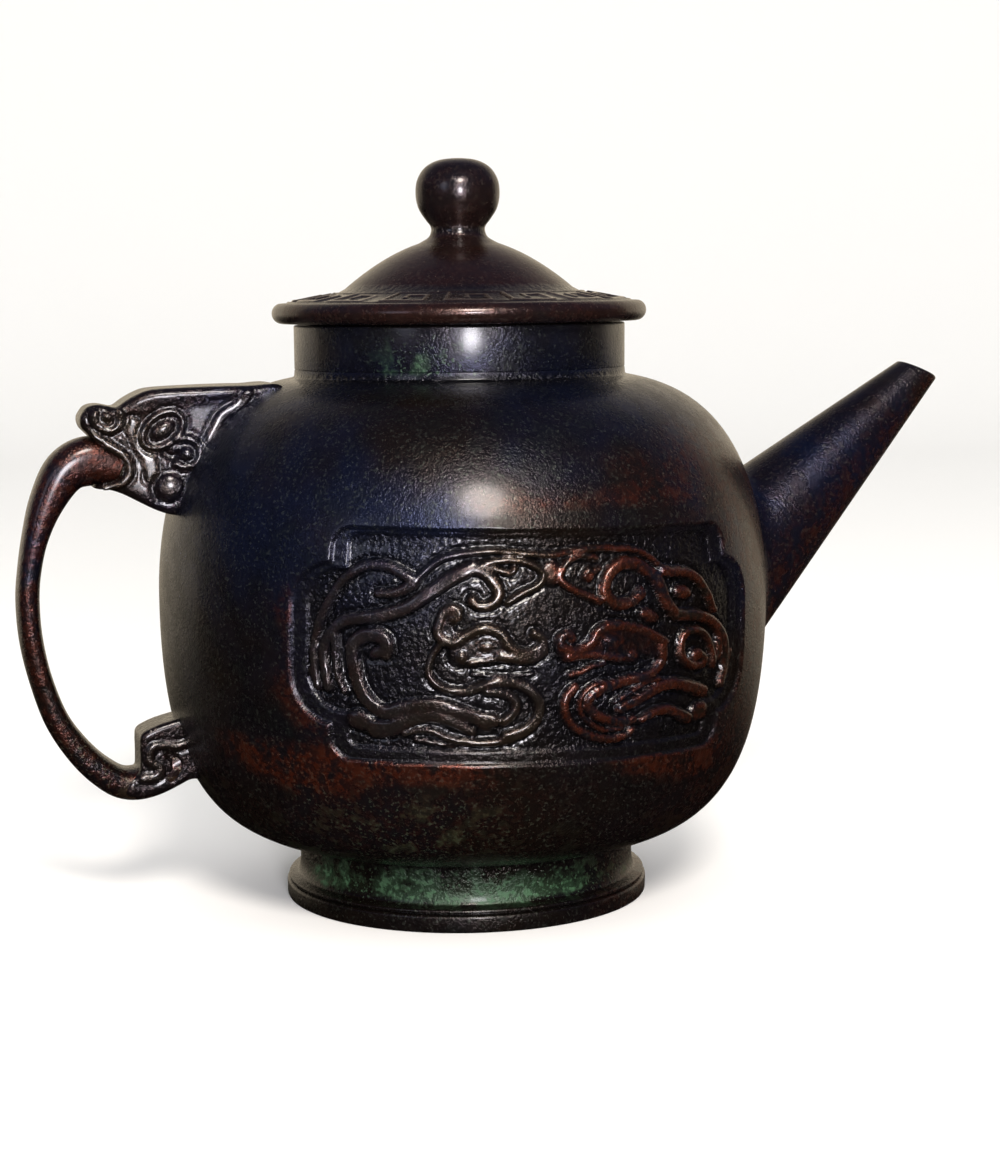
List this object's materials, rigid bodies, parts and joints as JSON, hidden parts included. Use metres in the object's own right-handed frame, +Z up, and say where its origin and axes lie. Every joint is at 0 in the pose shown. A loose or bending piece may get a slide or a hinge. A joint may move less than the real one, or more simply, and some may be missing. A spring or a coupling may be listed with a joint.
{
  "type": "lidded ewer",
  "caption": "Lidded bronze ewer on a foot ring, with a straight spout, a strap handle held in a beast's head, and a sunk dragon panel on each broad side.",
  "frame": {"origin": "on the ground, below the middle of the ewer's overall length", "axes": "+X towards the spout, -X the handle, -Y the front panel, +Z up"},
  "size_m": [0.2185, 0.1372, 0.1667],
  "materials": {
    "body_bronze": "dark patinated cast bronze with verdigris",
    "lid_bronze": "dark brown patinated bronze, worn glossy"
  },
  "bodies": {
    "root": {"ewer_body": "body_bronze", "handle": "body_bronze", "spout": "body_bronze", "lid": "lid_bronze"}
  },
  "joints": []
}
